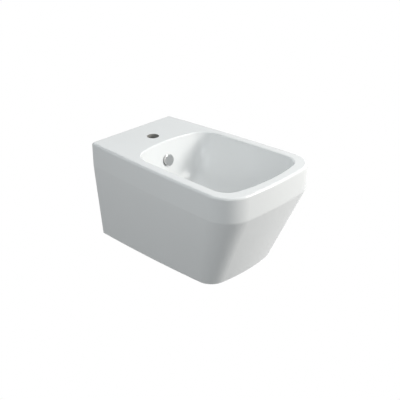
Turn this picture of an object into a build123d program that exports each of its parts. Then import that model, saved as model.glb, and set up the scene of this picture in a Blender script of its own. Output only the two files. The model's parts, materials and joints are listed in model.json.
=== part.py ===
from build123d import *
import os
from math import asin, atan2, cos, radians, sin
from typing import NamedTuple

os.makedirs("parts", exist_ok=True)

# Wall-hung bidet in millimetres.
# The wall is the plane Y = 0, the front faces -Y and +Z is up.
# The origin lies on the wall, midway between the two wall studs.


class Outline(NamedTuple):
    """Plan outline, symmetric about X = 0, measured as distances from the wall."""

    rear: float          # wall to the middle of the rear edge
    rear_bow: float      # how far the rear corners lie in front of that middle
    rear_half: float     # half width at the rear corners
    side_bow: float      # how far each side bulges past its chord
    front_half: float    # half width at the front corners
    front: float         # wall to the middle of the front edge
    front_bow: float     # how far the front corners lie behind that middle
    rear_radius: float
    front_radius: float


# Ceramic outside
rim_z = 80.0
body_height = 305.0
band_height = 71.0
rim_outline = Outline(0, 0, 156.5, 5.0, 180.5, 553.0, 13.0, 0, 76.0)
foot_outline = Outline(0, 0, 135.5, 5.5, 133.5, 455.0, 16.0, 0, 51.0)
top_edge_radius = 7.0
band_edge_radius = 14.0
foot_edge_radius = 8.0

# Ceramic walls
skirt_wall = 10.0
deck_thickness = 14.0
rim_solid_depth = 34.0
bowl_wall = 9.0

# Bowl
bowl_outline = Outline(141.4, 25.6, 138.6, 1.6, 149.1, 523.6, 20.7, 60.0, 51.0)
bowl_depth = 150.0
bowl_edge_radius = 3.5
bowl_sections = 6
floor_angle = 84.0
floor_half = 52.0
floor_bow = 6.0
floor_corner = 42.0

# Tap hole
tap_hole_radius = 17.5
tap_hole_to_wall = 87.0
tap_hole_edge_radius = 1.5

# Wall fixings
stud_spacing = 180.0
stud_radius = 6.0
stud_in_wall = 45.0
stud_past_nut = 8.0
stud_end_chamfer = 1.0
stud_shank_radius = 5.4
stud_shank_in_wall = 5.0
stud_shank_length = 30.0
stud_hole_radius = 10.0
stud_boss_radius = 24.0
stud_boss_length = 34.0
fixing_clearance = 0.3
sleeve_flange_radius = 16.0
sleeve_flange_thickness = 3.0
sleeve_tail = 4.0
washer_radius = 14.0
washer_thickness = 2.5
nut_across_flats = 19.0
nut_thickness = 10.0
nut_chamfer = 1.4

# Opening for pipes in the wall face
service_half_width = 98.0
service_top_z = -56.0
service_corner = 30.0

# Waste hole
waste_to_wall = 262.0
waste_hole_radius = 23.0
waste_seat_radius = 35.0
collar_radius = 40.0
collar_length = 42.0

# Overflow
overflow_depth = 58.0
overflow_hole_radius = 12.0
overflow_seat_radius = 19.0
overflow_seat_depth = 0.6
duct_width = 26.0
duct_gap = 12.0
duct_wall = 7.0
duct_headroom = 20.0
duct_bend = 22.0
duct_port_drop = 32.0
duct_corner = 4.0
duct_run = 35.0

# Overflow fittings
cover_radius = 17.5
cover_height = 8.0
cover_wall = 1.6
cover_face = 2.0
cover_edge_radius = 1.4
cover_window_width = 8.0
cover_window_height = 4.0
cover_window_count = 3
cover_window_spread = 120.0
bush_flange_thickness = 1.6
bush_wall = 2.0
bush_reach = 13.0
bush_slit_width = 2.0
overflow_seal_thickness = 1.5

# Waste body
flange_radius = 33.0
flange_thickness = 4.0
flange_recess_radius = 28.0
flange_recess_depth = 2.0
gasket_thickness = 1.5
tail_radius = 20.95
tail_bore_radius = 18.5
tail_length = 70.0
tail_slot_width = 8.0
tail_slot_height = 18.0
tail_slot_count = 4
flange_edge_radius = 1.0
hub_radius = 8.0
hub_height = 6.0
spoke_width = 4.0
spoke_count = 3
spoke_turn = 45.0

# Tailpiece screwed into the waste body
tailpiece_radius = 15.9
tailpiece_wall = 1.3
tailpiece_length = 60.0
tailpiece_thread = 10.0

# Nut stack under the collar
thread_clearance = 0.25
tail_gasket_radius = 31.0
tail_gasket_thickness = 8.0
tail_gasket_nose = 4.0
tail_gasket_draft = 8.0
tail_nose_draft = 10.0
slip_washer_radius = 30.0
slip_washer_thickness = 2.0
back_nut_across_flats = 54.0
back_nut_thickness = 9.0
back_nut_chamfer = 1.0

# Push plug
plug_travel = 8.0
plug_radius = 31.0
plug_rim_thickness = 3.0
plug_crown = 2.6
plug_edge_radius = 1.0
plug_gap = 0.5
plug_boss_radius = 18.0
plug_boss_height = 2.0
plug_seal_radius = 26.0
plug_seal_clearance = 0.3
plug_seal_edge_radius = 0.7
stem_radius = 4.0
plunger_radius = 5.95
plunger_length = 14.0
latch_groove_width = 4.0
latch_groove_depth = 2.0
latch_groove_margin = 1.5

# Cartridge
sleeve_top_drop = 12.0
sleeve_cap = 3.0
sleeve_length = 37.0
sleeve_radius = 9.0
sleeve_bore_radius = 6.0
sleeve_floor = 3.0
sleeve_edge_radius = 1.0
running_clearance = 0.08
stop_clearance = 0.3
stub_radius = 5.0
stub_clearance = 0.05
spring_wire_radius = 0.5
spring_wire_sides = 6
spring_turns = 5.5
spring_clearance = 0.3
pin_radius = 0.5
pin_clearance = 0.3
pin_tip_above_bottom = 3.0
pin_leg = 17.0
pin_bend = 1.2


def blend(start, end, share):
    """Outline a share of the way from start to end."""
    return Outline(*(a + (b - a) * share for a, b in zip(start, end)))


def grown(outline, amount):
    """Outline moved outward all round by an amount."""
    return Outline(
        outline.rear - amount, outline.rear_bow, outline.rear_half + amount, outline.side_bow,
        outline.front_half + amount, outline.front + amount, outline.front_bow,
        outline.rear_radius and outline.rear_radius + amount, outline.front_radius + amount,
    )


def draw_outline(outline, z):
    """Sketch the outline at height z."""
    rear_y = -outline.rear - outline.rear_bow
    front_y = -outline.front + outline.front_bow
    side_x = (outline.rear_half + outline.front_half) / 2 + outline.side_bow
    side_y = (rear_y + front_y) / 2
    rear_left = (-outline.rear_half, rear_y)
    rear_right = (outline.rear_half, rear_y)
    front_right = (outline.front_half, front_y)
    front_left = (-outline.front_half, front_y)
    with BuildSketch(Plane.XY.offset(z)) as sketch:
        with BuildLine():
            if outline.rear_bow > 0:
                ThreePointArc(rear_left, (0, -outline.rear), rear_right)
            else:
                Line(rear_left, rear_right)
            ThreePointArc(rear_right, (side_x, side_y), front_right)
            ThreePointArc(front_right, (0, -outline.front), front_left)
            ThreePointArc(front_left, (-side_x, side_y), rear_left)
        make_face()
        fillet(sketch.vertices().group_by(Axis.Y)[0], outline.front_radius)
        if outline.rear_radius > 0:
            fillet(sketch.vertices().group_by(Axis.Y)[-1], outline.rear_radius)
    return sketch.sketch


# The bowl wall follows a quarter ellipse from the upright rim edge to the flat floor.
floor_z = rim_z - bowl_depth
floor_outline = Outline(
    waste_to_wall - floor_half, floor_bow, floor_half - floor_bow, floor_bow,
    floor_half - floor_bow, waste_to_wall + floor_half, floor_bow, floor_corner, floor_corner,
)
floor_share = 1 - cos(radians(floor_angle))


def draw_bowl(skin):
    """Stack of bowl sections, grown and lowered by a skin thickness."""
    sections = []
    for step in range(bowl_sections + 1):
        angle = radians(floor_angle * step / bowl_sections)
        share = (1 - cos(angle)) / floor_share
        depth = (bowl_depth + skin) * sin(angle) / sin(radians(floor_angle))
        outline = blend(bowl_outline, floor_outline, share)
        sections.append(draw_outline(grown(outline, skin), rim_z - depth))
    return sections


# Place and tilt of the overflow on the bowl's rear wall
rear_reach = floor_outline.rear - bowl_outline.rear
overflow_angle = asin(overflow_depth * sin(radians(floor_angle)) / bowl_depth)
overflow_y = -bowl_outline.rear - rear_reach * (1 - cos(overflow_angle)) / floor_share
overflow_z = rim_z - overflow_depth
wall_run = rear_reach / floor_share * sin(overflow_angle)
wall_drop = bowl_depth / sin(radians(floor_angle)) * cos(overflow_angle)
overflow_tilt = atan2(wall_run, wall_drop)
overflow_axis = Vector(0, -cos(overflow_tilt), sin(overflow_tilt))
overflow_seat = Vector(0, overflow_y, overflow_z) - overflow_axis * overflow_seat_depth


def on_overflow(height):
    """Plane across the overflow axis, at a height above its ceramic seat."""
    return Plane(origin=overflow_seat + overflow_axis * height, x_dir=(1, 0, 0), z_dir=overflow_axis)


def on_waste(z):
    """Level plane centred on the waste."""
    return Plane(origin=(0, -waste_to_wall, z))


# The duct runs down behind the bowl and forward under it to the waste collar.
flange_top_z = floor_z
seat_z = flange_top_z - flange_thickness - gasket_thickness
collar_end_z = seat_z - collar_length
duct_y = -bowl_outline.rear + bowl_wall + duct_gap / 2
port_z = seat_z - duct_port_drop + duct_gap / 2
duct_top_z = overflow_z + duct_headroom


def duct_route(top_z, end_y):
    """Corners of the duct's centre line, as Y and Z."""
    return [
        (duct_y, top_z),
        (duct_y, overflow_z - duct_headroom - duct_bend / 2),
        (-waste_to_wall + collar_radius + duct_run, port_z),
        (end_y, port_z),
    ]


def draw_duct(top_z, end_y, width, gap, corner):
    """Section of the duct at its upper end, and its path."""
    with BuildLine(Plane.YZ) as path:
        FilletPolyline(*duct_route(top_z, end_y), radius=duct_bend)
    with BuildSketch(Plane(origin=path.line @ 0, x_dir=(1, 0, 0), z_dir=(0, 0, -1))) as section:
        RectangleRounded(width, gap, corner)
    return section.sketch, path.line


crease_z = rim_z - band_height
foot_z = rim_z - body_height
cavity_top_z = rim_z - rim_solid_depth
deck_underside_z = rim_z - deck_thickness

with BuildPart() as ceramic_body:
    # Outer form: an upright band, then walls that slope in to the foot
    extrude(draw_outline(rim_outline, crease_z), amount=band_height)
    loft([draw_outline(rim_outline, crease_z), draw_outline(foot_outline, foot_z)], ruled=True)
    crease = ceramic_body.edges().filter_by_position(Axis.Z, crease_z - 0.1, crease_z + 0.1)
    fillet(crease.filter_by(lambda edge: edge.center().Y < -1), band_edge_radius)
    top_edges = ceramic_body.edges().group_by(Axis.Z)[-1]
    fillet(top_edges.filter_by(lambda edge: edge.center().Y < -1), top_edge_radius)
    foot_edges = ceramic_body.edges().group_by(Axis.Z)[0]
    fillet(foot_edges.filter_by(lambda edge: edge.center().Y < -1), foot_edge_radius)

    # Hollow inside the skirt, open below, and higher under the deck
    cavity_crease = draw_outline(grown(rim_outline, -skirt_wall), crease_z)
    cavity_foot = draw_outline(grown(foot_outline, -skirt_wall), foot_z)
    extrude(cavity_crease, amount=cavity_top_z - crease_z, mode=Mode.SUBTRACT)
    loft([cavity_crease, cavity_foot], ruled=True, mode=Mode.SUBTRACT)
    with BuildSketch(Plane.XY.offset(cavity_top_z)):
        with Locations((0, -skirt_wall)):
            Rectangle(
                2 * (rim_outline.rear_half - skirt_wall), bowl_outline.rear - skirt_wall,
                align=(Align.CENTER, Align.MAX),
            )
    extrude(amount=deck_underside_z - cavity_top_z, mode=Mode.SUBTRACT)

    # Shell round the bowl, collar round the waste, rib round the duct and a web that joins them
    loft(draw_bowl(bowl_wall))
    with BuildSketch(on_waste(floor_z)):
        Circle(collar_radius)
    extrude(amount=collar_end_z - floor_z)
    rib_section, rib_path = draw_duct(
        duct_top_z + duct_wall, -waste_to_wall + waste_hole_radius + duct_wall,
        duct_width + 2 * duct_wall, duct_gap + 2 * duct_wall, duct_wall,
    )
    sweep(rib_section, path=rib_path)
    with BuildSketch(Plane.YZ):
        with BuildLine():
            web = Polyline(*duct_route(duct_top_z, -waste_to_wall))
            Polyline(web @ 1, (-waste_to_wall, duct_top_z), web @ 0)
        make_face()
    extrude(amount=duct_width / 2 + duct_wall, both=True)

    # Bosses behind the wall face for the studs
    with BuildSketch(Plane.XZ):
        with GridLocations(stud_spacing, 0, 2, 1):
            Circle(stud_boss_radius)
    extrude(amount=stud_boss_length)

    # Bowl
    loft(draw_bowl(0), mode=Mode.SUBTRACT)

    # Waste hole with its seat, duct, overflow hole with its ground seat
    with BuildSketch(on_waste(floor_z)):
        Circle(waste_seat_radius)
    extrude(amount=seat_z - floor_z, mode=Mode.SUBTRACT)
    with BuildSketch(on_waste(floor_z)):
        Circle(waste_hole_radius)
    extrude(amount=collar_end_z - floor_z, mode=Mode.SUBTRACT)
    duct_section, duct_path = draw_duct(
        duct_top_z, -waste_to_wall + waste_hole_radius / 2, duct_width, duct_gap, duct_corner
    )
    sweep(duct_section, path=duct_path, mode=Mode.SUBTRACT)
    with BuildSketch(on_overflow(0)):
        Circle(overflow_hole_radius)
    extrude(amount=-bowl_wall - duct_gap, mode=Mode.SUBTRACT)
    with BuildSketch(on_overflow(0)):
        Circle(overflow_seat_radius)
    extrude(amount=2 * overflow_seat_depth, mode=Mode.SUBTRACT)

    # Tap hole, stud holes and pipe opening
    with BuildSketch(Plane.XY.offset(rim_z)):
        with Locations((0, -tap_hole_to_wall)):
            Circle(tap_hole_radius)
    extrude(amount=-deck_thickness, mode=Mode.SUBTRACT)
    tap_hole_edge = ceramic_body.edges().sort_by_distance((0, -tap_hole_to_wall, rim_z))[0]
    fillet(tap_hole_edge, tap_hole_edge_radius)
    with BuildSketch(Plane.XZ):
        with GridLocations(stud_spacing, 0, 2, 1):
            Circle(stud_hole_radius)
    extrude(amount=stud_boss_length, mode=Mode.SUBTRACT)
    with BuildSketch(Plane.XZ) as service_opening:
        with Locations((0, service_top_z)):
            Rectangle(
                2 * service_half_width, service_top_z - foot_z, align=(Align.CENTER, Align.MAX)
            )
        fillet(service_opening.vertices().group_by(Axis.Y)[-1], service_corner)
    extrude(amount=skirt_wall, mode=Mode.SUBTRACT)

    # Soft glazed edge round the bowl opening
    rim_edges = ceramic_body.edges().filter_by_position(Axis.Z, rim_z - 0.1, rim_z + 0.1)
    bowl_edges = rim_edges.filter_by(
        lambda edge: -bowl_outline.front - 1 < edge.center().Y < -bowl_outline.rear + 1
        and abs(edge.center().X) < bowl_outline.front_half + 2
    )
    fillet(bowl_edges, bowl_edge_radius)

ceramic_body.part.label = "ceramic_body"
export_step(ceramic_body.part, "parts/ceramic_body.step")


# Overflow cover: a cup with inlet windows low in its side wall
with BuildPart() as overflow_cover:
    with BuildSketch(on_overflow(stop_clearance)):
        Circle(cover_radius)
    extrude(amount=cover_height - stop_clearance)
    fillet(overflow_cover.edges().sort_by(Axis(overflow_seat, overflow_axis))[-1], cover_edge_radius)
    with BuildSketch(on_overflow(stop_clearance)):
        Circle(cover_radius - cover_wall)
    extrude(amount=cover_height - cover_face - stop_clearance, mode=Mode.SUBTRACT)
    with BuildSketch(on_overflow(cover_height / 2 - cover_window_height / 2)):
        with PolarLocations(
            cover_radius, cover_window_count, start_angle=-90 - cover_window_spread / 2,
            angular_range=cover_window_spread, endpoint=True,
        ):
            Rectangle(4 * cover_wall, cover_window_width)
    extrude(amount=cover_window_height, mode=Mode.SUBTRACT)
overflow_cover.part.label = "overflow_cover"
export_step(overflow_cover.part, "parts/overflow_cover.step")

# Rubber ring between the bush flange and the ground ceramic seat
seal_inner = overflow_hole_radius - fixing_clearance
bush_flange_radius = cover_radius - cover_wall
with BuildPart() as overflow_seal:
    with BuildSketch(on_overflow(0)):
        Circle(bush_flange_radius - fixing_clearance)
        Circle(seal_inner, mode=Mode.SUBTRACT)
    extrude(amount=overflow_seal_thickness)
overflow_seal.part.label = "overflow_seal"
export_step(overflow_seal.part, "parts/overflow_seal.step")

# Bush pushed into the overflow hole, slit so that its tail springs
with BuildPart() as overflow_bush:
    with BuildSketch(on_overflow(overflow_seal_thickness)):
        Circle(bush_flange_radius)
    extrude(amount=bush_flange_thickness)
    with BuildSketch(on_overflow(overflow_seal_thickness)):
        Circle(seal_inner - fixing_clearance)
    extrude(amount=-bush_reach - overflow_seal_thickness)
    with BuildSketch(on_overflow(-bush_reach)):
        Circle(seal_inner - fixing_clearance - bush_wall)
    extrude(amount=bush_reach + overflow_seal_thickness + bush_flange_thickness, mode=Mode.SUBTRACT)
    with BuildSketch(on_overflow(-bush_reach)):
        Rectangle(2 * overflow_hole_radius, bush_slit_width)
        Rectangle(bush_slit_width, 2 * overflow_hole_radius)
    extrude(amount=bush_reach / 2, mode=Mode.SUBTRACT)
overflow_bush.part.label = "overflow_bush"
export_step(overflow_bush.part, "parts/overflow_bush.step")

# Waste body: flange with a stepped seat, slotted tube and a bridge for the cartridge
sleeve_top_z = flange_top_z - sleeve_top_drop
sleeve_end_z = sleeve_top_z - sleeve_length
slot_top_z = port_z + tail_slot_height / 2
with BuildPart() as waste_body:
    with BuildSketch(on_waste(flange_top_z)):
        Circle(flange_radius)
    extrude(amount=-flange_thickness)
    fillet(waste_body.edges().group_by(Axis.Z)[-1], flange_edge_radius)
    with BuildSketch(on_waste(flange_top_z - flange_thickness)):
        Circle(tail_radius)
    extrude(amount=flange_thickness - tail_length)
    with BuildSketch(on_waste(flange_top_z)):
        Circle(flange_recess_radius)
    extrude(amount=-flange_recess_depth, mode=Mode.SUBTRACT)
    with BuildSketch(on_waste(flange_top_z)):
        Circle(tail_bore_radius)
    extrude(amount=-tail_length, mode=Mode.SUBTRACT)
    with BuildSketch(on_waste(slot_top_z)):
        with PolarLocations((tail_bore_radius + tail_radius) / 2, tail_slot_count):
            Rectangle(2 * tail_slot_width, tail_slot_width)
    extrude(amount=-tail_slot_height, mode=Mode.SUBTRACT)
    with BuildSketch(on_waste(sleeve_end_z)):
        Circle(hub_radius)
        with PolarLocations(tail_bore_radius / 2, spoke_count, start_angle=spoke_turn):
            Rectangle(tail_bore_radius, spoke_width)
        Circle(stub_radius + stub_clearance, mode=Mode.SUBTRACT)
    extrude(amount=-hub_height)
waste_body.part.label = "waste_body"
export_step(waste_body.part, "parts/waste_body.step")

tail_end_z = flange_top_z - tail_length
with BuildPart() as tailpiece:
    with BuildSketch(on_waste(tail_end_z)):
        Circle(tail_bore_radius - thread_clearance)
    extrude(amount=tailpiece_thread)
    with BuildSketch(on_waste(tail_end_z)):
        Circle(tailpiece_radius)
    extrude(amount=-tailpiece_length)
    with BuildSketch(on_waste(tail_end_z - tailpiece_length)):
        Circle(tailpiece_radius - tailpiece_wall)
    extrude(amount=tailpiece_length + tailpiece_thread, mode=Mode.SUBTRACT)
tailpiece.part.label = "tailpiece"
export_step(tailpiece.part, "parts/tailpiece.step")

with BuildPart() as flange_gasket:
    with BuildSketch(on_waste(seat_z)):
        Circle(flange_radius)
        Circle(waste_hole_radius, mode=Mode.SUBTRACT)
    extrude(amount=gasket_thickness)
flange_gasket.part.label = "flange_gasket"
export_step(flange_gasket.part, "parts/flange_gasket.step")

# Tapered ring whose nose centres the tail in the ceramic hole
thread_radius = tail_radius + thread_clearance
with BuildPart() as tail_gasket:
    with BuildSketch(on_waste(collar_end_z)):
        Circle(tail_gasket_radius)
    extrude(amount=-tail_gasket_thickness, taper=tail_gasket_draft)
    with BuildSketch(on_waste(collar_end_z)):
        Circle(waste_hole_radius - fixing_clearance)
    extrude(amount=tail_gasket_nose, taper=tail_nose_draft)
    with BuildSketch(on_waste(collar_end_z - tail_gasket_thickness)):
        Circle(thread_radius)
    extrude(amount=tail_gasket_thickness + tail_gasket_nose, mode=Mode.SUBTRACT)
tail_gasket.part.label = "tail_gasket"
export_step(tail_gasket.part, "parts/tail_gasket.step")

slip_top_z = collar_end_z - tail_gasket_thickness
with BuildPart() as slip_washer:
    with BuildSketch(on_waste(slip_top_z)):
        Circle(slip_washer_radius)
        Circle(thread_radius, mode=Mode.SUBTRACT)
    extrude(amount=-slip_washer_thickness)
slip_washer.part.label = "slip_washer"
export_step(slip_washer.part, "parts/slip_washer.step")

back_nut_top_z = slip_top_z - slip_washer_thickness
with BuildPart() as back_nut:
    with BuildSketch(on_waste(back_nut_top_z)):
        RegularPolygon(back_nut_across_flats / 2, 6, major_radius=False)
        Circle(thread_radius, mode=Mode.SUBTRACT)
    extrude(amount=-back_nut_thickness)
    chamfer(back_nut.edges().group_by(Axis.Z)[0].filter_by(GeomType.LINE), back_nut_chamfer)
back_nut.part.label = "back_nut"
export_step(back_nut.part, "parts/back_nut.step")

# Plug at rest, raised by its travel above the closed place
cap_z = flange_top_z + plug_gap + plug_travel
with BuildPart() as waste_plug:
    with BuildSketch(Plane(origin=(0, -waste_to_wall, cap_z), x_dir=(1, 0, 0), z_dir=(0, -1, 0))) as half:
        with BuildLine():
            underside = Line((0, 0), (plug_radius, 0))
            side = Line(underside @ 1, (plug_radius, plug_rim_thickness))
            crown = TangentArc((0, plug_rim_thickness + plug_crown), side @ 1, tangent=(1, 0))
            Line(crown @ 0, underside @ 0)
        make_face()
        fillet(half.vertices().group_by(Axis.X)[-1], plug_edge_radius)
    revolve(axis=Axis((0, -waste_to_wall, 0), (0, 0, 1)))
    with BuildSketch(on_waste(cap_z)):
        Circle(plug_boss_radius)
    extrude(amount=-plug_boss_height)
waste_plug.part.label = "waste_plug"
export_step(waste_plug.part, "parts/waste_plug.step")

seal_depth = plug_gap + flange_recess_depth - plug_seal_clearance
with BuildPart() as plug_seal:
    with BuildSketch(on_waste(cap_z)):
        Circle(plug_seal_radius)
        Circle(plug_boss_radius, mode=Mode.SUBTRACT)
    extrude(amount=-seal_depth)
    fillet(plug_seal.edges().group_by(Axis.Z)[0].sort_by(SortBy.RADIUS)[-1], plug_seal_edge_radius)
plug_seal.part.label = "plug_seal"
export_step(plug_seal.part, "parts/plug_seal.step")

# Stem and plunger, with the latch groove in the plunger's side
plunger_top_z = sleeve_top_z - sleeve_cap - stop_clearance
plunger_end_z = plunger_top_z - plunger_length
with BuildPart() as plug_stem:
    with BuildSketch(on_waste(plunger_end_z)):
        Circle(plunger_radius)
    extrude(amount=plunger_length)
    with BuildSketch(on_waste(plunger_top_z)):
        Circle(stem_radius)
    extrude(amount=cap_z - plug_boss_height - plunger_top_z)
    with BuildSketch(on_waste(plunger_end_z + latch_groove_margin)):
        with Locations((0, plunger_radius)):
            Rectangle(latch_groove_width, 2 * latch_groove_depth)
    extrude(amount=plunger_length - 2 * latch_groove_margin, mode=Mode.SUBTRACT)
plug_stem.part.label = "plug_stem"
export_step(plug_stem.part, "parts/plug_stem.step")

# Cartridge sleeve with a side channel for the latch pin
sleeve_bore_top_z = sleeve_top_z - sleeve_cap
sleeve_bore_end_z = sleeve_end_z + sleeve_floor
pin_line = sleeve_bore_radius + pin_radius + pin_clearance
pin_top_z = plunger_end_z + pin_tip_above_bottom
pin_end_z = pin_top_z - pin_leg
pin_slot = 2 * (pin_radius + pin_clearance)
with BuildPart() as cartridge_sleeve:
    with BuildSketch(on_waste(sleeve_end_z)):
        Circle(sleeve_radius)
    extrude(amount=sleeve_length)
    fillet(cartridge_sleeve.edges().group_by(Axis.Z)[-1], sleeve_edge_radius)
    with BuildSketch(on_waste(sleeve_end_z)):
        Circle(stub_radius)
    extrude(amount=-hub_height - stub_clearance)
    with BuildSketch(on_waste(sleeve_bore_end_z)):
        Circle(sleeve_bore_radius)
    extrude(amount=sleeve_bore_top_z - sleeve_bore_end_z, mode=Mode.SUBTRACT)
    with BuildSketch(on_waste(sleeve_bore_top_z)):
        Circle(stem_radius + running_clearance)
    extrude(amount=sleeve_cap, mode=Mode.SUBTRACT)
    with BuildSketch(on_waste(pin_end_z - pin_radius - pin_clearance)):
        with Locations((0, sleeve_bore_radius)):
            Rectangle(pin_slot, 2 * (pin_line + pin_slot / 2 - sleeve_bore_radius))
    extrude(amount=pin_leg + pin_slot, mode=Mode.SUBTRACT)
    with BuildSketch(Plane(origin=(0, -waste_to_wall, pin_end_z), x_dir=(1, 0, 0), z_dir=(0, 1, 0))):
        Circle(pin_radius + pin_clearance)
    extrude(amount=sleeve_radius, mode=Mode.SUBTRACT)
cartridge_sleeve.part.label = "cartridge_sleeve"
export_step(cartridge_sleeve.part, "parts/cartridge_sleeve.step")

# Bent wire pin: its tip runs in the latch groove, its tail hooks in the sleeve wall
pin_plane = Plane(origin=(0, -waste_to_wall, 0), x_dir=(0, 1, 0), z_dir=(1, 0, 0))
pin_tip = plunger_radius - latch_groove_depth + pin_clearance
with BuildPart() as latch_pin:
    with BuildLine(pin_plane) as pin_route:
        FilletPolyline(
            (pin_tip, pin_top_z), (pin_line, pin_top_z),
            (pin_line, pin_end_z), (sleeve_radius - pin_clearance, pin_end_z),
            radius=pin_bend,
        )
    with BuildSketch(Plane(origin=pin_route.line @ 0, z_dir=pin_route.line % 0)):
        Circle(pin_radius)
    sweep()
latch_pin.part.label = "latch_pin"
export_step(latch_pin.part, "parts/latch_pin.step")

# Compression spring between the sleeve floor and the plunger
spring_radius = sleeve_bore_radius - spring_clearance - spring_wire_radius
spring_length = plunger_end_z - sleeve_bore_end_z - 2 * spring_wire_radius
with BuildPart() as latch_spring:
    with BuildLine() as coil:
        Helix(
            pitch=spring_length / spring_turns, height=spring_length, radius=spring_radius,
            center=(0, -waste_to_wall, sleeve_bore_end_z + spring_wire_radius),
        )
    with BuildSketch(Plane(origin=coil.line @ 0, z_dir=coil.line % 0)):
        RegularPolygon(spring_wire_radius, spring_wire_sides)
    sweep(is_frenet=True)
latch_spring.part.label = "latch_spring"
export_step(latch_spring.part, "parts/latch_spring.step")

# Wall fixings, one pair of each: studs, flanged sleeves, washers and nuts.
# The studs are threaded at both ends, with a thinner plain shank between.
sleeve_face = stud_boss_length + sleeve_flange_thickness
washer_face = sleeve_face + washer_thickness
nut_face = washer_face + nut_thickness
with BuildPart() as wall_studs:
    with BuildSketch(Plane.XZ.offset(-stud_in_wall)):
        with GridLocations(stud_spacing, 0, 2, 1):
            Circle(stud_radius)
    extrude(amount=stud_in_wall + nut_face + stud_past_nut)
    chamfer(wall_studs.edges().filter_by(GeomType.CIRCLE), stud_end_chamfer)
    with BuildSketch(Plane.XZ.offset(-stud_shank_in_wall)):
        with GridLocations(stud_spacing, 0, 2, 1):
            Circle(stud_radius)
            Circle(stud_shank_radius, mode=Mode.SUBTRACT)
    extrude(amount=stud_shank_length, mode=Mode.SUBTRACT)
wall_studs.part.label = "wall_studs"
export_step(wall_studs.part, "parts/wall_studs.step")

with BuildPart() as stud_sleeves:
    with BuildSketch(Plane.XZ.offset(stud_boss_length)):
        with GridLocations(stud_spacing, 0, 2, 1):
            Circle(sleeve_flange_radius)
    extrude(amount=sleeve_flange_thickness)
    with BuildSketch(Plane.XZ.offset(sleeve_tail)):
        with GridLocations(stud_spacing, 0, 2, 1):
            Circle(stud_hole_radius - fixing_clearance)
    extrude(amount=stud_boss_length - sleeve_tail)
    with BuildSketch(Plane.XZ.offset(sleeve_tail)):
        with GridLocations(stud_spacing, 0, 2, 1):
            Circle(stud_radius + fixing_clearance)
    extrude(amount=sleeve_face - sleeve_tail, mode=Mode.SUBTRACT)
stud_sleeves.part.label = "stud_sleeves"
export_step(stud_sleeves.part, "parts/stud_sleeves.step")

with BuildPart() as stud_washers:
    with BuildSketch(Plane.XZ.offset(sleeve_face)):
        with GridLocations(stud_spacing, 0, 2, 1):
            Circle(washer_radius)
            Circle(stud_radius + fixing_clearance, mode=Mode.SUBTRACT)
    extrude(amount=washer_thickness)
stud_washers.part.label = "stud_washers"
export_step(stud_washers.part, "parts/stud_washers.step")

with BuildPart() as stud_nuts:
    with BuildSketch(Plane.XZ.offset(washer_face)):
        with GridLocations(stud_spacing, 0, 2, 1):
            Circle(nut_across_flats / 2 / cos(radians(30)))
    extrude(amount=nut_thickness)
    chamfer(stud_nuts.edges().filter_by(GeomType.CIRCLE), nut_chamfer)
    with BuildSketch(Plane.XZ.offset(washer_face)):
        with GridLocations(stud_spacing, 0, 2, 1):
            RegularPolygon(nut_across_flats / 2, 6, major_radius=False)
            Circle(stud_radius + thread_clearance, mode=Mode.SUBTRACT)
    extrude(amount=nut_thickness, mode=Mode.INTERSECT)
stud_nuts.part.label = "stud_nuts"
export_step(stud_nuts.part, "parts/stud_nuts.step")
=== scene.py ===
import json
from math import cos, pi, radians, sin

import bmesh
import bpy
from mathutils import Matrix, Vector


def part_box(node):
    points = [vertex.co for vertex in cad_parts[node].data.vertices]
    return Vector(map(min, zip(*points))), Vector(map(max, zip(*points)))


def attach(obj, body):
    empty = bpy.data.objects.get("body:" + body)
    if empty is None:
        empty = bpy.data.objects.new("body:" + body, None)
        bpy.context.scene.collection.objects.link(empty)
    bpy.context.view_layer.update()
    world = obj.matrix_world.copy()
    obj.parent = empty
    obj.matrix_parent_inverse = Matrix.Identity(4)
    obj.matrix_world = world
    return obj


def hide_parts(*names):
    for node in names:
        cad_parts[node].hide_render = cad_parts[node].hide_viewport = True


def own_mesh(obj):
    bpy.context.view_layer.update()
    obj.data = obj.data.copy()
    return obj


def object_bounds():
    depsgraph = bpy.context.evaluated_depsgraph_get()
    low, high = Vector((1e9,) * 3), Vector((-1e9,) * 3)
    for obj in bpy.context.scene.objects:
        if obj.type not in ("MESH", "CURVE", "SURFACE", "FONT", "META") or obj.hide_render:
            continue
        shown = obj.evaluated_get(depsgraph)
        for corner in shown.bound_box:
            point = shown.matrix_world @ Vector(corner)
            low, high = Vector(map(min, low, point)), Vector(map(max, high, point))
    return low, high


# A wall-hung bidet in a bright studio, seen from the front left and above.
# Lengths are metres, in the frame of the CAD model: the wall is Y = 0, the front faces -Y.

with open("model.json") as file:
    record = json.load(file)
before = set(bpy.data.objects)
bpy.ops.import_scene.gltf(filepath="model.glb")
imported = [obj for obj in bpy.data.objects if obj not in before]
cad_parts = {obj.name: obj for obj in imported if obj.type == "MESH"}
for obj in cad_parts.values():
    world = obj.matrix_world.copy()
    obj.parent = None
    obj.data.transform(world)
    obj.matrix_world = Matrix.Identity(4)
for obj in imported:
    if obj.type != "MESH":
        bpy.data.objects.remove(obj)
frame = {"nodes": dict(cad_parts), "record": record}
cad_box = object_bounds()
nodes = frame["nodes"]
FOOT_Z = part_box("ceramic_body")[0].z
tap_hole = next(mount for mount in frame["record"]["mounts"] if mount["name"] == "tap_hole")
TAP_HOLE = Vector(tap_hole["pos_m"])
TAP_HOLE_RADIUS = tap_hole["dims"]["r_mm"] / 1000

# Half width midway through the ceramic skirt near the wall, and how it narrows below the crease
CREASE_Z = 0.009
SKIRT_HALF = 0.1515
SKIRT_SLOPE = 0.0901

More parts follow.
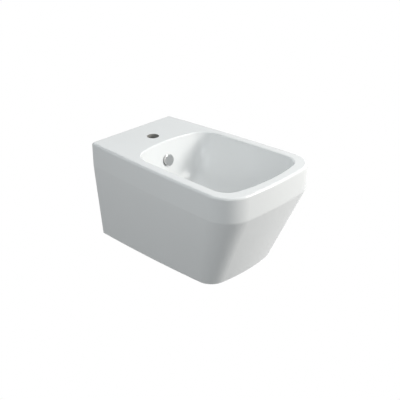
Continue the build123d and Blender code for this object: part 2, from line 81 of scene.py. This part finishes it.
# Edges of the bare clay: the wall face, the foot, and the hollow behind the duct
WALL_FACE_BAND = (-0.0012, -0.0002)
FOOT_BAND = (FOOT_Z + 0.0002, FOOT_Z + 0.0010)
HOLLOW_FRONT_BAND = (-0.1125, -0.1120)
HOLLOW_TOP_BAND = (0.0664, 0.0668)
HOLLOW_WALL_BAND = (-0.0095, -0.0090)
HOLLOW_SIDE_BAND = (-0.0005, 0.0005)
TAP_HOLE_BAND = (TAP_HOLE_RADIUS + 0.0002, TAP_HOLE_RADIUS + 0.0006)

# Camera
VIEW_AZIMUTH = radians(-46.55)
VIEW_ELEVATION = radians(26.25)
VIEW_TARGET = Vector((0.0693, -0.2105, -0.1116))
VIEW_DISTANCE = 2.272
FOCAL_LENGTH_MM = 68.4

# Floor and light
FLOOR_DROP = 0.60
FLOOR_SIZE = 40.0
FLOOR_COLOR = (0.291, 0.300, 0.303)
WORLD_STRENGTH = 0.174
SKY_COLOR = (0.93, 0.98, 1.0)
KEY_COLOR = (1.0, 0.985, 0.955)
FILL_COLOR = (0.95, 0.985, 1.0)

# Lights: name, azimuth and elevation in degrees, distance, size, watts, colour
LIGHTS = (
    ("key", 33, 26, 2.4, 0.7, 45.5, KEY_COLOR),
    ("low_left", -50, 15, 2.4, 0.6, 6.9, FILL_COLOR),
    ("left", -88, 35, 1.2, 0.7, 2.8, FILL_COLOR),
    ("top", 0, 88, 2.2, 1.6, 10.7, FILL_COLOR),
    ("rear", 180, 12, 2.4, 1.6, 19, FILL_COLOR),
    ("right", 90, 30, 2.4, 1.6, 12.5, FILL_COLOR),
)

# Threads of the wall studs, metric M12 at both ends of a plain shank
THREAD_PITCH = 0.00175
THREAD_DEPTH = 0.00093
THREAD_STEPS = 6
STUD_SIDES = 28
STUD_SHANK_RADIUS = 0.0054
STUD_SHANK_START = 0.005
STUD_SHANK_LENGTH = 0.030
STUD_END_CHAMFER = 0.001

# Latch spring under the plug's plunger
SPRING_WIRE_RADIUS = 0.0005
SPRING_WIRE_SIDES = 10
SPRING_TURNS = 5.5
SPRING_STEPS_PER_TURN = 28

# Colours, linear
GLAZE_COLOR = (0.80, 0.81, 0.81)
BISQUE_COLOR = (0.66, 0.63, 0.58)
TAP_HOLE_SHADE_COLOR = (0.27, 0.265, 0.25)
# Painted shade on the wall of the tap hole
CHROME_COLOR = (0.715, 0.71, 0.705)
BRASS_COLOR = (0.72, 0.57, 0.30)
RUBBER_COLOR = (0.035, 0.035, 0.037)
WHITE_PLASTIC_COLOR = (0.76, 0.76, 0.73)
GREY_PLASTIC_COLOR = (0.26, 0.27, 0.28)
STEEL_COLOR = (0.56, 0.56, 0.57)
ZINC_COLOR = (0.60, 0.61, 0.63)


class Shader:
    """A new node material with its Principled shader and a few short ways to wire it."""

    def __init__(self, name):
        self.material = bpy.data.materials.new(name)
        self.material.use_nodes = True
        self.nodes = self.material.node_tree.nodes
        self.links = self.material.node_tree.links
        self.principled = self.nodes["Principled BSDF"]
        self.coordinates = self.nodes.new("ShaderNodeTexCoord").outputs["Object"]

    def set(self, **values):
        for name, value in values.items():
            self.principled.inputs[name.replace("_", " ")].default_value = value

    def link(self, output, socket):
        self.links.new(output, self.principled.inputs[socket])

    def noise(self, scale, detail=2.0, stretch=(1, 1, 1)):
        """Noise from 0 to 1, with a scale in bumps per metre."""
        mapping = self.nodes.new("ShaderNodeMapping")
        mapping.inputs["Scale"].default_value = stretch
        self.links.new(self.coordinates, mapping.inputs["Vector"])
        noise = self.nodes.new("ShaderNodeTexNoise")
        noise.inputs["Scale"].default_value = scale
        noise.inputs["Detail"].default_value = detail
        self.links.new(mapping.outputs["Vector"], noise.inputs["Vector"])
        return noise.outputs["Fac"]

    def remap(self, value, low, high, start=0.3, end=0.7):
        remap = self.nodes.new("ShaderNodeMapRange")
        self.links.new(value, remap.inputs["Value"])
        remap.inputs["From Min"].default_value = start
        remap.inputs["From Max"].default_value = end
        remap.inputs["To Min"].default_value = low
        remap.inputs["To Max"].default_value = high
        return remap.outputs["Result"]

    def math(self, operation, first, second=0.0):
        node = self.nodes.new("ShaderNodeMath")
        node.operation = operation
        node.use_clamp = operation in ("MULTIPLY", "MAXIMUM", "MINIMUM")
        for socket, value in zip(node.inputs, (first, second)):
            if isinstance(value, (int, float)):
                socket.default_value = value
            else:
                self.links.new(value, socket)
        return node.outputs["Value"]

    def square(self, value):
        return self.math("MULTIPLY", value, value)

    def mix(self, factor, first, second):
        """Colour between two others; either may be a plain tuple."""
        node = self.nodes.new("ShaderNodeMix")
        node.data_type = "RGBA"
        self.links.new(factor, node.inputs["Factor"])
        for name, value in (("A_Color", first), ("B_Color", second)):
            socket = next(s for s in node.inputs if s.identifier == name)
            if isinstance(value, tuple):
                socket.default_value = (*value, 1.0)
            else:
                self.links.new(value, socket)
        return next(s for s in node.outputs if s.identifier == "Result_Color")

    def bump(self, height, distance, strength=1.0):
        node = self.nodes.new("ShaderNodeBump")
        node.inputs["Distance"].default_value = distance
        node.inputs["Strength"].default_value = strength
        self.links.new(height, node.inputs["Height"])
        self.link(node.outputs["Normal"], "Normal")


def shade(color, share):
    return tuple(c * share for c in color)


def dress(node_names, material):
    """Gives CAD nodes a new material in all of their slots."""
    for name in node_names:
        for slot in nodes[name].material_slots:
            slot.material = material


# Glazed vitreous china, with bare fired clay where it meets the wall and inside the hollow
def glazed_china():
    shader = Shader("glazed_china")
    tone = shader.remap(shader.noise(5.0), 0.0, 1.0)
    glaze = shader.mix(tone, GLAZE_COLOR, shade(GLAZE_COLOR, 0.985))
    speck = shader.remap(shader.noise(900.0, 3.0), 0.0, 1.0, 0.35, 0.65)
    bisque = shader.mix(speck, BISQUE_COLOR, shade(BISQUE_COLOR, 0.88))

    place = shader.nodes.new("ShaderNodeSeparateXYZ")
    shader.links.new(shader.coordinates, place.inputs["Vector"])
    at_wall = shader.remap(place.outputs["Y"], 0.0, 1.0, *WALL_FACE_BAND)
    under_foot = shader.remap(place.outputs["Z"], 1.0, 0.0, *FOOT_BAND)
    behind_duct = shader.remap(place.outputs["Y"], 0.0, 1.0, *HOLLOW_FRONT_BAND)
    under_deck = shader.remap(place.outputs["Z"], 1.0, 0.0, *HOLLOW_TOP_BAND)
    below_crease = shader.math("SUBTRACT", CREASE_Z, place.outputs["Z"])
    below_crease = shader.math("MAXIMUM", below_crease)
    skirt = shader.math("SUBTRACT", SKIRT_HALF, shader.math("MULTIPLY", below_crease, SKIRT_SLOPE))
    past_skirt = shader.math("SUBTRACT", shader.math("ABSOLUTE", place.outputs["X"]), skirt)
    inside = shader.remap(past_skirt, 1.0, 0.0, *HOLLOW_SIDE_BAND)
    off_wall = shader.remap(place.outputs["Y"], 1.0, 0.0, *HOLLOW_WALL_BAND)
    hollow = shader.math("MULTIPLY", behind_duct, under_deck)
    hollow = shader.math("MULTIPLY", hollow, inside)
    hollow = shader.math("MULTIPLY", hollow, off_wall)
    bare = shader.math("MAXIMUM", shader.math("MAXIMUM", at_wall, under_foot), hollow)

    # The tap hole's wall is made rough like bare clay, and its colour is painted dark as painted
    # shade inside the hole
    across = shader.square(place.outputs["X"])
    along = shader.square(shader.math("SUBTRACT", place.outputs["Y"], TAP_HOLE.y))
    from_axis = shader.math("SQRT", shader.math("ADD", across, along))
    in_hole = shader.remap(from_axis, 1.0, 0.0, *TAP_HOLE_BAND)

    fired = shader.mix(bare, glaze, bisque)
    shader.link(shader.mix(in_hole, fired, TAP_HOLE_SHADE_COLOR), "Base Color")
    smooth = shader.remap(shader.noise(14.0), 0.20, 0.25)
    rough = shader.math("MULTIPLY", shader.math("MAXIMUM", bare, in_hole), 0.55)
    shader.link(shader.math("ADD", smooth, rough), "Roughness")
    ripple = shader.noise(22.0, 1.0)
    shader.bump(ripple, 0.0006, 0.25)
    shader.set(Specular_IOR_Level=0.45, IOR=1.52)
    return shader.material


def metal(name, color, roughness, scale, stretch=(1, 1, 1), depth=0.00002, dull=0.86):
    """Metal with fine marks that vary its colour, roughness and relief."""
    shader = Shader(name)
    marks = shader.noise(scale, 4.0, stretch)
    shader.link(shader.mix(shader.remap(marks, 0.0, 1.0), color, shade(color, dull)), "Base Color")
    shader.link(shader.remap(marks, roughness * 0.8, roughness * 1.3), "Roughness")
    shader.bump(marks, depth, 0.4)
    shader.set(Metallic=1.0)
    return shader.material


def polymer(name, color, roughness, scale, depth=0.00003):
    """Moulded plastic or rubber with a faint grain."""
    shader = Shader(name)
    grain = shader.noise(scale, 3.0)
    shader.link(shader.mix(shader.remap(grain, 0.0, 1.0), color, shade(color, 0.85)), "Base Color")
    shader.link(shader.remap(grain, roughness * 0.85, roughness * 1.15), "Roughness")
    shader.bump(grain, depth, 0.5)
    return shader.material


chrome = metal("polished_chrome", CHROME_COLOR, 0.08, 30.0, depth=0.000004, dull=0.95)
brass = metal("turned_brass", BRASS_COLOR, 0.28, 500.0, (1, 1, 8))
steel = metal("spring_wire", STEEL_COLOR, 0.22, 900.0)
zinc = metal("zinc_plate", ZINC_COLOR, 0.34, 350.0)
rubber = polymer("black_rubber", RUBBER_COLOR, 0.62, 700.0)
white_plastic = polymer("white_plastic", WHITE_PLASTIC_COLOR, 0.42, 500.0)
grey_plastic = polymer("grey_plastic", GREY_PLASTIC_COLOR, 0.40, 500.0)

dress(["ceramic_body"], glazed_china())
dress(["overflow_cover", "waste_body", "tailpiece", "waste_plug"], chrome)
dress(["back_nut", "plug_stem"], brass)
dress(["latch_spring", "latch_pin"], steel)
dress(["wall_studs", "stud_washers", "stud_nuts"], zinc)
dress(["overflow_seal", "flange_gasket", "tail_gasket", "plug_seal"], rubber)
dress(["overflow_bush", "slip_washer", "stud_sleeves"], white_plastic)
dress(["cartridge_sleeve"], grey_plastic)


def join_rings(bm, rings):
    """Joins rings of vertices into a tube closed at both ends."""
    for near, far in zip(rings, rings[1:]):
        for side in range(len(near)):
            after = (side + 1) % len(near)
            bm.faces.new((near[side], far[side], far[after], near[after]))
    bm.faces.new(rings[0])
    bm.faces.new(reversed(rings[-1]))


def add_piece(name, bm, material):
    """New object from a built mesh, smooth but for its end caps."""
    bmesh.ops.recalc_face_normals(bm, faces=bm.faces)
    mesh = bpy.data.meshes.new(name)
    bm.to_mesh(mesh)
    bm.free()
    for polygon in mesh.polygons:
        polygon.use_smooth = len(polygon.vertices) == 4
    mesh.materials.append(material)
    piece = bpy.data.objects.new(name, mesh)
    bpy.context.scene.collection.objects.link(piece)
    return piece


# Wall studs with their threads
def thread_radius(y, turn, major, ends):
    """Radius of a stud at a place along it, a share of a turn round it."""
    shank_end = STUD_SHANK_START - STUD_SHANK_LENGTH
    if shank_end < y < STUD_SHANK_START:
        return STUD_SHANK_RADIUS
    phase = (y / THREAD_PITCH - turn) % 1.0
    radius = major - THREAD_DEPTH * abs(2.0 * phase - 1.0)
    to_end = min(ends[1] - y, y - ends[0])
    return min(radius, major - STUD_END_CHAMFER + to_end)


def add_stud(bm, centre, major, ends):
    """Closed threaded rod along Y."""
    rings = []
    count = round((ends[1] - ends[0]) / THREAD_PITCH * THREAD_STEPS)
    for row in range(count + 1):
        y = ends[0] + (ends[1] - ends[0]) * row / count
        ring = []
        for column in range(STUD_SIDES):
            turn = column / STUD_SIDES
            radius = thread_radius(y, turn, major, ends)
            across, up = radius * cos(2 * pi * turn), radius * sin(2 * pi * turn)
            ring.append(bm.verts.new((centre.x + across, y, centre.z + up)))
        rings.append(ring)
    join_rings(bm, rings)


def make_studs(material):
    low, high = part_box("wall_studs")
    major = (high.z - low.z) / 2
    bm = bmesh.new()
    for x in (low.x + major, high.x - major):
        add_stud(bm, Vector((x, 0, (low.z + high.z) / 2)), major, (low.y, high.y))
    studs = add_piece("threaded_studs", bm, material)
    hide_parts("wall_studs")
    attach(studs, "fixed_body")


make_studs(zinc)


# Latch spring, coiled wire at one fixed length, though the real one is pressed shorter as the plug
# goes down
def make_spring(material):
    low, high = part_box("latch_spring")
    middle = (low + high) / 2
    length = high.z - low.z
    coil_radius = (high.x - low.x) / 2 - SPRING_WIRE_RADIUS
    rise = length - 2 * SPRING_WIRE_RADIUS
    slope = rise / (2 * pi * SPRING_TURNS * coil_radius)
    bm = bmesh.new()
    rings = []
    count = round(SPRING_TURNS * SPRING_STEPS_PER_TURN)
    for step in range(count + 1):
        turn = 2 * pi * SPRING_TURNS * step / count
        outward = Vector((cos(turn), sin(turn), 0))
        along = Vector((-sin(turn), cos(turn), slope)).normalized()
        height = low.z + SPRING_WIRE_RADIUS + rise * step / count
        centre = Vector((middle.x, middle.y, height)) + outward * coil_radius
        across = along.cross(outward)
        ring = []
        for side in range(SPRING_WIRE_SIDES):
            angle = 2 * pi * side / SPRING_WIRE_SIDES
            offset = outward * cos(angle) + across * sin(angle)
            ring.append(bm.verts.new(centre + offset * SPRING_WIRE_RADIUS))
        rings.append(ring)
    join_rings(bm, rings)
    spring = add_piece("spring_coil", bm, material)
    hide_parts("latch_spring")
    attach(spring, "fixed_body")
    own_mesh(spring)


make_spring(steel)


# Camera
def make_camera():
    toward_camera = Vector((
        sin(VIEW_AZIMUTH) * cos(VIEW_ELEVATION),
        -cos(VIEW_AZIMUTH) * cos(VIEW_ELEVATION),
        sin(VIEW_ELEVATION),
    ))
    data = bpy.data.cameras.new("camera")
    data.lens = FOCAL_LENGTH_MM
    data.sensor_width = 36.0
    camera = bpy.data.objects.new("camera", data)
    camera.location = VIEW_TARGET + toward_camera * VIEW_DISTANCE
    camera.rotation_mode = "QUATERNION"
    camera.rotation_quaternion = (-toward_camera).to_track_quat("-Z", "Y")
    bpy.context.scene.collection.objects.link(camera)
    bpy.context.scene.camera = camera


# White studio: what the camera and reflections see is white, what lights the object is softer
def seen_directly(tree):
    """1 for camera, glossy and transmission rays, 0 for the rays that light the object."""
    rays = tree.nodes.new("ShaderNodeLightPath")
    factor = rays.outputs["Is Camera Ray"]
    for name in ("Is Glossy Ray", "Is Transmission Ray"):
        node = tree.nodes.new("ShaderNodeMath")
        node.operation = "MAXIMUM"
        tree.links.new(factor, node.inputs[0])
        tree.links.new(rays.outputs[name], node.inputs[1])
        factor = node.outputs["Value"]
    return factor


def make_world():
    world = bpy.data.worlds.new("studio")
    bpy.context.scene.world = world
    world.use_nodes = True
    tree = world.node_tree
    background = tree.nodes["Background"]
    seen = seen_directly(tree)
    tint = tree.nodes.new("ShaderNodeMix")
    tint.data_type = "RGBA"
    tint.inputs["A"].default_value = (*SKY_COLOR, 1.0)
    tint.inputs["B"].default_value = (1.0, 1.0, 1.0, 1.0)
    tree.links.new(seen, tint.inputs["Factor"])
    tree.links.new(tint.outputs["Result"], background.inputs["Color"])
    strength = tree.nodes.new("ShaderNodeMapRange")
    strength.inputs["To Min"].default_value = WORLD_STRENGTH
    strength.inputs["To Max"].default_value = 1.0
    tree.links.new(seen, strength.inputs["Value"])
    tree.links.new(strength.outputs["Result"], background.inputs["Strength"])


def make_floor():
    mesh = bpy.data.meshes.new("floor")
    half = FLOOR_SIZE / 2
    corners = [(-half, -half, 0), (half, -half, 0), (half, half, 0), (-half, half, 0)]
    mesh.from_pydata(corners, [], [(0, 1, 2, 3)])
    floor = bpy.data.objects.new("floor", mesh)
    floor.location.z = FOOT_Z - FLOOR_DROP
    bpy.context.scene.collection.objects.link(floor)
    material = bpy.data.materials.new("pale_floor")
    material.use_nodes = True
    tree = material.node_tree
    principled = tree.nodes["Principled BSDF"]
    principled.inputs["Base Color"].default_value = (*FLOOR_COLOR, 1.0)
    principled.inputs["Roughness"].default_value = 0.9
    white = tree.nodes.new("ShaderNodeEmission")
    white.inputs["Color"].default_value = (1.0, 1.0, 1.0, 1.0)
    mix = tree.nodes.new("ShaderNodeMixShader")
    tree.links.new(seen_directly(tree), mix.inputs["Fac"])
    tree.links.new(principled.outputs["BSDF"], mix.inputs[1])
    tree.links.new(white.outputs["Emission"], mix.inputs[2])
    # Seen from below the floor is clear, so that it hides nothing
    clear = tree.nodes.new("ShaderNodeBsdfTransparent")
    side = tree.nodes.new("ShaderNodeMixShader")
    geometry = tree.nodes.new("ShaderNodeNewGeometry")
    tree.links.new(geometry.outputs["Backfacing"], side.inputs["Fac"])
    tree.links.new(mix.outputs["Shader"], side.inputs[1])
    tree.links.new(clear.outputs["BSDF"], side.inputs[2])
    tree.links.new(side.outputs["Shader"], tree.nodes["Material Output"].inputs["Surface"])
    floor.data.materials.append(material)


def make_light(name, azimuth, elevation, distance, size, power, color):
    """Square soft light that faces the middle of the bidet."""
    middle = (Vector(cad_box[0]) + Vector(cad_box[1])) / 2
    a, e = radians(azimuth), radians(elevation)
    toward_light = Vector((sin(a) * cos(e), -cos(a) * cos(e), sin(e)))
    data = bpy.data.lights.new(name, "AREA")
    data.size = size
    data.energy = power
    data.color = color
    light = bpy.data.objects.new(name, data)
    light.location = middle + toward_light * distance
    light.rotation_mode = "QUATERNION"
    light.rotation_quaternion = (-toward_light).to_track_quat("-Z", "Y")
    bpy.context.scene.collection.objects.link(light)


make_camera()
make_world()
make_floor()
for name, azimuth, elevation, distance, size, power, color in LIGHTS:
    make_light(name, azimuth, elevation, distance, size, power, color)

bpy.context.scene.view_settings.view_transform = "Standard"
